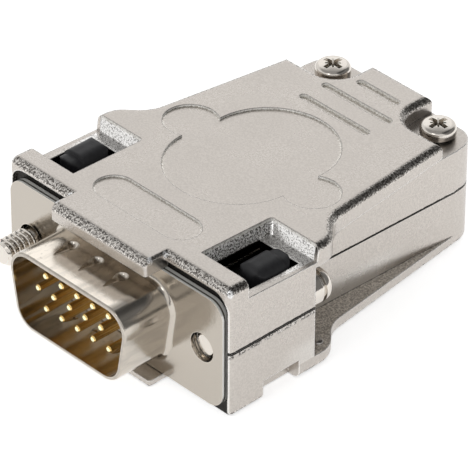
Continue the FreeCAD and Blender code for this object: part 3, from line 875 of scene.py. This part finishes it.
def new_piece(name: str, shape: bmesh.types.BMesh) -> Piece:
    """Turns a mesh in the making into a piece of the scene.

    Args:
        name: the piece's name.
        shape: its mesh, in metres in the part's frame. It is freed.

    Returns:
        The object.
    """
    data = bpy.data.meshes.new(name)
    shape.to_mesh(data)
    shape.free()
    piece = bpy.data.objects.new(name, data)
    bpy.context.scene.collection.objects.link(piece)
    return piece


@dataclass(frozen=True)
class Thread:
    """A cut thread on the front of a screw."""

    crest_r: float
    root_r: float
    pitch: float
    length: float
    chamfer: float
    root_share: float = 0.18
    flank_share: float = 0.64
    run_out: float = 0.6
    tip_slope: float = 0.9

    def radius(self, along: float, turn: float) -> float:
        """Radius of the thread's surface.

        Args:
            along: distance from the tip.
            turn: the angle round the axis, as a share of a turn.

        Returns:
            The radius.
        """
        phase = (along / self.pitch - turn) % 1.0
        flank = min(phase, 1 - phase) * 2
        crest = min(1.0, max(0.0, (flank - self.root_share) / self.flank_share))
        lead = min(1.0, along / self.chamfer)
        fade = min(1.0, max(0.0, (self.length - along) / (self.pitch * self.run_out)))
        depth = (self.crest_r - self.root_r) * crest * fade
        cone = self.crest_r - self.chamfer * self.tip_slope * (1 - lead)
        return min(self.root_r + depth, cone)


@dataclass
class TurnedScrew:
    """A screw that is turned about its axis, threaded from its tip, and cut in its head for a driver."""

    node: str
    body: str
    wardrobe: Wardrobe
    finish: Finish
    thread: Thread
    axis: Vector
    around: int = 48
    steps_per_turn: int = 12

    def tip(self) -> Vector:
        """Middle of the screw's tip."""
        low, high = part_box(self.node)
        middle = (low + high) / 2
        return middle - self.axis * (self.axis.dot(high - low) / 2)

    def total_length(self) -> float:
        """Length from the tip to the head's end."""
        low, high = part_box(self.node)
        return self.axis.dot(high - low)

    def profile(self) -> list[tuple[float, float]]:
        """Lists places along the axis and radii, from the end of the thread to the head's end."""
        raise NotImplementedError

    def blades(self) -> list[Piece]:
        """Makes the closed shapes that are cut out of the head."""
        raise NotImplementedError

    def turn(self) -> Piece:
        """Builds the screw's closed surface before its head is cut.

        Returns:
            The turned screw.
        """
        start = self.tip()
        across = Vector((1.0, 0.0, 0.0))
        upright = self.axis.cross(across)
        angles = [2 * math.pi * spot / self.around for spot in range(self.around)]
        spokes = [across * math.cos(angle) + upright * math.sin(angle) for angle in angles]
        step = self.thread.pitch / self.steps_per_turn
        rings = []
        for along in (index * step for index in range(int(self.thread.length / step) + 1)):
            rings.append((along, [self.thread.radius(along, spot / self.around) for spot in range(self.around)]))
        rings += [(along, [radius] * self.around) for along, radius in self.profile()]
        shape = bmesh.new()
        rows = [[shape.verts.new(start + self.axis * along + out * radius) for out, radius in zip(spokes, radii)]
                for along, radii in rings]
        for first, second in zip(rows, rows[1:]):
            for spot in range(self.around):
                after = (spot + 1) % self.around
                shape.faces.new((first[spot], first[after], second[after], second[spot]))
        shape.faces.new(rows[0][::-1])
        shape.faces.new(rows[-1])
        bmesh.ops.recalc_face_normals(shape, faces=shape.faces)
        return new_piece(self.node + "_turned", shape)

    def build(self) -> Piece:
        """Builds the screw, cuts its head, dresses it and puts it on its body.

        Returns:
            The finished screw.
        """
        piece = self.turn()
        for blade in self.blades():
            cut_away(piece, blade)
        smooth_by_angle(piece)
        self.wardrobe.dress(self.finish, piece)
        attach(piece, self.body)
        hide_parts(self.node)
        return piece


@dataclass
class Jackscrew(TurnedScrew):
    """A captive jackscrew with a plain shank and neck, and a slotted head."""

    shank_r: float = 1.25 * MM
    shank_length: float = 2.45 * MM
    neck_r: float = 1.0 * MM
    head_r: float = 1.95 * MM
    head_length: float = 3.05 * MM
    groove_r: float = 1.7 * MM
    groove_width: float = 0.25 * MM
    edge: float = 0.3 * MM
    dome: float = 1.15 * MM
    slot_width: float = 0.7 * MM
    slot_depth: float = 1.1 * MM
    slot_reach: float = 1.2
    slot_taper: float = 0.9

    @classmethod
    def on_side(cls, side: str, wardrobe: Wardrobe) -> Jackscrew:
        """Gives the screw of one side."""
        thread = Thread(1.42 * MM, 1.08 * MM, 0.635 * MM, 3.75 * MM, 0.35 * MM)
        return cls(f"jackscrew_{side}", f"{side}_screw", wardrobe, Finish.SCREW, thread, Vector((0.0, 1.0, 0.0)))

    def profile(self) -> list[tuple[float, float]]:
        """Lists the plain shank, the neck and the grooved head."""
        end = self.total_length()
        shank_end = self.thread.length + self.shank_length
        head = end - self.head_length
        groove = head + self.head_length / 2
        soft, head_r, groove_r, wide = self.edge, self.head_r, self.groove_r, self.groove_width
        return [(self.thread.length, self.thread.root_r), (self.thread.length + soft, self.shank_r),
                (shank_end, self.shank_r), (shank_end, self.neck_r), (head, self.neck_r),
                (head, head_r - soft / 2), (head + soft / 2, head_r),
                (groove - wide, head_r), (groove - wide / 2, groove_r),
                (groove + wide / 2, groove_r), (groove + wide, head_r), *rounded_end(end, head_r, self.dome)]

    def blades(self) -> list[Piece]:
        """Makes the blade of the driver's slot."""
        end = self.tip() + self.axis * self.total_length()
        along = Vector((-1.0, 0.0, 1.0)).normalized()
        return [tapered_blade(self.node + "_slot", end, self.axis, along, self.head_r * self.slot_reach,
                              self.slot_width, self.slot_width * self.slot_taper, self.slot_depth)]


@dataclass
class PanScrew(TurnedScrew):
    """A small pan-head screw with a ribbed cross recess."""

    head_r: float = 1.9 * MM
    head_height: float = 1.3 * MM
    edge: float = 0.5 * MM
    crown: float = 0.12 * MM
    cross_reach: float = 1.2 * MM
    cross_width: float = 0.55 * MM
    rib_reach: float = 0.85 * MM
    rib_width: float = 0.22 * MM
    cross_depth: float = 0.75 * MM
    cross_taper: float = 0.6
    cross_floor: float = 0.7
    rib_depth: float = 0.525 * MM
    crown_steps: tuple[float, ...] = (0.8, 0.5, 0.2)
    soft: float = 0.1 * MM
    thread_share: ClassVar[float] = 0.85

    @classmethod
    def at(cls, node: str, wardrobe: Wardrobe, finish: Finish) -> PanScrew:
        """Gives the screw that stands for one node."""
        low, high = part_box(node)
        length = high.z - low.z - cls.head_height
        thread = Thread(1.0 * MM, 0.78 * MM, 0.45 * MM, length * cls.thread_share, 0.4 * MM)
        return cls(node, "connector", wardrobe, finish, thread, Vector((0.0, 0.0, 1.0)))

    def profile(self) -> list[tuple[float, float]]:
        """Lists the plain neck and the domed head."""
        end = self.total_length()
        seat = end - self.head_height
        shoulder = rounded_end(end - self.crown, self.head_r, self.edge)
        flat_r = shoulder[-1][1]
        crown = [(end - self.crown * share * share, flat_r * share) for share in self.crown_steps]
        return [(self.thread.length + self.soft, self.thread.crest_r), (seat, self.thread.crest_r),
                (seat, self.head_r - self.soft), (seat + self.soft, self.head_r), *shoulder, *crown]

    def blades(self) -> list[Piece]:
        """Makes the four wings of the cross and the four ribs between them."""
        end = self.tip() + self.axis * self.total_length()
        made = []
        for step in range(4):
            angle = math.pi / 4 * step
            along = Vector((math.cos(angle), math.sin(angle), 0.0))
            reach, width, depth = ((self.cross_reach, self.cross_width, self.cross_depth),
                                   (self.rib_reach, self.rib_width, self.rib_depth))[step % 2]
            made.append(tapered_blade(f"{self.node}_wing_{step}", end, self.axis, along, reach, width,
                                      width * self.cross_taper, depth, self.cross_floor))
        return made


def rounded_end(end: float, radius: float, soft: float, steps: int = 5) -> list[tuple[float, float]]:
    """Lists the places and radii of a quarter round at the end of a turned head.

    Args:
        end: where the head ends along the axis.
        radius: the head's radius.
        soft: the radius of the rounding.
        steps: how many straight steps it is drawn with.

    Returns:
        The places along the axis and the radii.
    """
    points = []
    for step in range(steps + 1):
        angle = math.pi / 2 * step / steps
        points.append((end - soft + soft * math.sin(angle), radius - soft + soft * math.cos(angle)))
    return points


def tapered_blade(name: str, end: Vector, axis: Vector, along: Vector, reach: float, width: float,
                  floor_width: float, depth: float, floor_share: float = 1.0) -> Piece:
    """Builds a closed wedge that cuts a slot into a screw's head.

    Args:
        name: the wedge's name.
        end: middle of the head's end.
        axis: the screw's axis, out of the head.
        along: the slot's direction.
        reach: half the slot's length at the head's end.
        width: its width there.
        floor_width: its width at the floor.
        depth: how deep it is.
        floor_share: its length at the floor, as a share of the length at the end.

    Returns:
        The wedge.
    """
    across = axis.cross(along)
    shape = bmesh.new()
    rows = []
    for level, half, side in ((-depth, reach * floor_share, floor_width / 2),
                              (depth, reach * (2 - floor_share), width - floor_width / 2)):
        row = [shape.verts.new(end + axis * level + along * (half * u) + across * (side * v))
               for u, v in ((-1, -1), (1, -1), (1, 1), (-1, 1))]
        rows.append(row)
    low, high = rows
    shape.faces.new(low[::-1])
    shape.faces.new(high)
    for spot in range(4):
        after = (spot + 1) % 4
        shape.faces.new((low[spot], low[after], high[after], high[spot]))
    bmesh.ops.recalc_face_normals(shape, faces=shape.faces)
    return new_piece(name, shape)


def cut_away(piece: Piece, cutter: Piece) -> None:
    """Cuts one mesh out of another and removes the cutter.

    Args:
        piece: the mesh that is cut.
        cutter: the closed mesh that is taken away.
    """
    modifier = piece.modifiers.new("cut", "BOOLEAN")
    modifier.operation = "DIFFERENCE"
    modifier.solver = "EXACT"
    modifier.object = cutter
    bpy.context.view_layer.update()
    result = bpy.data.meshes.new_from_object(piece.evaluated_get(bpy.context.evaluated_depsgraph_get()))
    piece.modifiers.clear()
    piece.data = result
    bpy.data.objects.remove(cutter)


@dataclass
class CastHood:
    """The two cast halves of the hood, with the cover screws and the retainers."""

    wardrobe: Wardrobe
    nub_place: Place = (14.4 * MM, -2.95 * MM, 1.85 * MM)
    nub_r: float = 0.62 * MM
    nub_height: float = 0.42 * MM

    def make_nub(self, side: str, way: int) -> None:
        """Makes the small cast dome on the ledge behind one block.

        Args:
            side: the side's name.
            way: -1 on the left and 1 on the right.
        """
        middle = Vector((way * self.nub_place[0], self.nub_place[1], self.nub_place[2]))
        shape = bmesh.new()
        bmesh.ops.create_uvsphere(shape, u_segments=24, v_segments=12, radius=1.0)
        bmesh.ops.delete(shape, geom=[spot for spot in shape.verts if spot.co.z < -0.01], context="VERTS")
        bmesh.ops.holes_fill(shape, edges=shape.edges)
        for spot in shape.verts:
            spot.co = middle + Vector((spot.co.x * self.nub_r, spot.co.y * self.nub_r, spot.co.z * self.nub_height))
        bmesh.ops.recalc_face_normals(shape, faces=shape.faces)
        nub = new_piece(f"ledge_nub_{side}", shape)
        smooth_by_angle(nub)
        self.wardrobe.dress(Finish.CAST, nub)
        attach(nub, "connector")

    def build(self) -> None:
        """Dresses the castings, the screws that hold them together and the retainers between them."""
        self.make_nub("left", -1)
        self.make_nub("right", 1)
        self.wardrobe.dress(Finish.CAST, "upper_hood", "lower_hood")
        for name in ("cover_screw_left", "cover_screw_right"):
            PanScrew.at(name, self.wardrobe, Finish.SCREW).build()
        self.wardrobe.dress(Finish.NYLON, "retainer_left", "retainer_right")


@dataclass
class PlugFace:
    """The plug's shells, insulators and contacts."""

    wardrobe: Wardrobe
    contact_count: int = 15

    def build(self) -> None:
        """Dresses the shells, the insulators and the contacts."""
        self.wardrobe.dress(Finish.SHELL, "plug_shell", "back_shell")
        self.wardrobe.dress(Finish.INSULATOR, "front_insulator", "rear_insulator")
        contacts = (f"contact_{number:02d}" for number in range(1, self.contact_count + 1))
        self.wardrobe.dress(Finish.GOLD, *contacts)


@dataclass
class CableClamp:
    """The strap over the cable with its two screws."""

    wardrobe: Wardrobe

    def build(self) -> None:
        """Dresses the strap and its screws."""
        self.wardrobe.dress(Finish.CLAMP, "cable_clamp")
        for name in ("clamp_screw_left", "clamp_screw_right"):
            PanScrew.at(name, self.wardrobe, Finish.CLAMP).build()


@dataclass
class Studio:
    """Floor, lights and camera."""

    azimuth: float = 46.282
    elevation: float = 35.241
    roll: float = 0.238
    lens: float = 349.40
    eye: Place = (0.2709, -0.25955, 0.270985)
    floor_size: float = 6.0
    world_level: float = 0.93
    dark_way: Place = (0.60, 0.56, 0.57)
    dark_patch: Span = (0.67, 0.81)
    dark_share: float = 0.78
    overhead: Span = (0.62, 0.82)
    overhead_share: float = 0.62
    low_front_z: Span = (0.24, 0.16)
    low_front_y: Span = (-0.2, -0.45)
    low_front_share: float = 0.8
    floor_colour: float = 0.75
    floor_seen: float = 0.98
    floor_glow: float = 0.67

    def make_camera(self) -> None:
        """Makes the camera at the photograph's viewing angle."""
        turn, rise, roll = (math.radians(angle) for angle in (self.azimuth, self.elevation, self.roll))
        back = Vector((math.sin(turn) * math.cos(rise), -math.cos(turn) * math.cos(rise), math.sin(rise)))
        right = Vector((math.cos(turn), math.sin(turn), 0))
        up = back.cross(right)
        data = bpy.data.cameras.new("camera")
        data.lens = self.lens
        data.sensor_width = 36.0
        data.clip_start = 0.01
        data.clip_end = 20.0
        camera = bpy.data.objects.new("camera", data)
        axes = Matrix((right * math.cos(roll) + up * math.sin(roll), up * math.cos(roll) - right * math.sin(roll),
                       back)).transposed().to_4x4()
        camera.matrix_world = Matrix.Translation(Vector(self.eye)) @ axes
        bpy.context.scene.collection.objects.link(camera)
        bpy.context.scene.camera = camera

    def make_floor(self) -> None:
        """Makes the pale floor, which shows white to the camera and in reflections."""
        shape = bmesh.new()
        bmesh.ops.create_grid(shape, x_segments=1, y_segments=1, size=self.floor_size / 2)
        floor = new_piece("floor", shape)
        made = Shading.start("pale_floor")
        wires = made.wires
        path = wires.node("LightPath", {})
        seen = path["Is Camera Ray"] | path["Is Glossy Ray"] | path["Is Transmission Ray"]
        made.set(Base_Color=wires.mix(seen, (self.floor_colour,) * 3, (self.floor_seen,) * 3), Roughness=0.9,
                 Specular_IOR_Level=0.0, Emission_Strength=1.0,
                 Emission_Color=wires.mix(seen, (0.0, 0.0, 0.0), (self.floor_glow,) * 3))
        floor.data.materials.append(made.material)

    def make_world(self) -> None:
        """Makes a plain soft world, dimmer overhead, with dark patches at the rear right and low in front."""
        world = bpy.data.worlds.new("studio")
        world.use_nodes = True
        bpy.context.scene.world = world
        world.node_tree.nodes.clear()
        wires = Tree(world.node_tree)
        x, y, z = wires.split(wires.node("TexCoord", {})["Generated"])
        toward = x * self.dark_way[0] + y * self.dark_way[1] + z * self.dark_way[2]
        low_front = z.ramp(*self.low_front_z) * y.ramp(*self.low_front_y)
        level = ((1.0 - z.ramp(*self.overhead) * self.overhead_share) * self.world_level
                 * (1.0 - toward.ramp(*self.dark_patch) * self.dark_share)
                 * (1.0 - low_front * self.low_front_share))
        back = wires.node("Background", {"Color": WHITE, "Strength": level})
        wires.node("OutputWorld", {"Surface": back["Background"]})

    @staticmethod
    def make_lamp(name: str, place: Place, size: float, power: float) -> None:
        """Makes one square softbox that faces the part.

        Args:
            name: the lamp's name.
            place: where it hangs, in metres.
            size: its side, in metres.
            power: its power, in watts.
        """
        data = bpy.data.lights.new(name, "AREA")
        data.shape = "SQUARE"
        data.size = size
        data.energy = power
        lamp = bpy.data.objects.new(name, data)
        lamp.location = place
        lamp.rotation_mode = "QUATERNION"
        lamp.rotation_quaternion = Vector(place).to_track_quat("Z", "Y")
        bpy.context.scene.collection.objects.link(lamp)

    def build(self) -> None:
        """Sets the whole stage."""
        self.make_camera()
        self.make_floor()
        self.make_world()
        self.make_lamp("softbox_left", (-0.75, 0.7, 0.55), 0.6, 0.3)
        self.make_lamp("lamp_front", (0.12, -0.55, 0.6), 0.16, 0.3)
        bpy.context.scene.view_settings.view_transform = "Standard"


def main() -> None:
    """Builds the sub-assemblies in order and reports each."""
    Studio().build()
    LOG.info("stage set")
    wardrobe = Wardrobe()
    for assembly in (CastHood, PlugFace, CableClamp):
        assembly(wardrobe).build()
        LOG.info("%s dressed", assembly.__name__)
    for side in ("left", "right"):
        screw = Jackscrew.on_side(side, wardrobe).build()
        LOG.info("%s: %d faces", screw.name, len(screw.data.polygons))


if __name__ == "__main__":
    logging.basicConfig(level=logging.INFO, format="%(message)s")
    main()
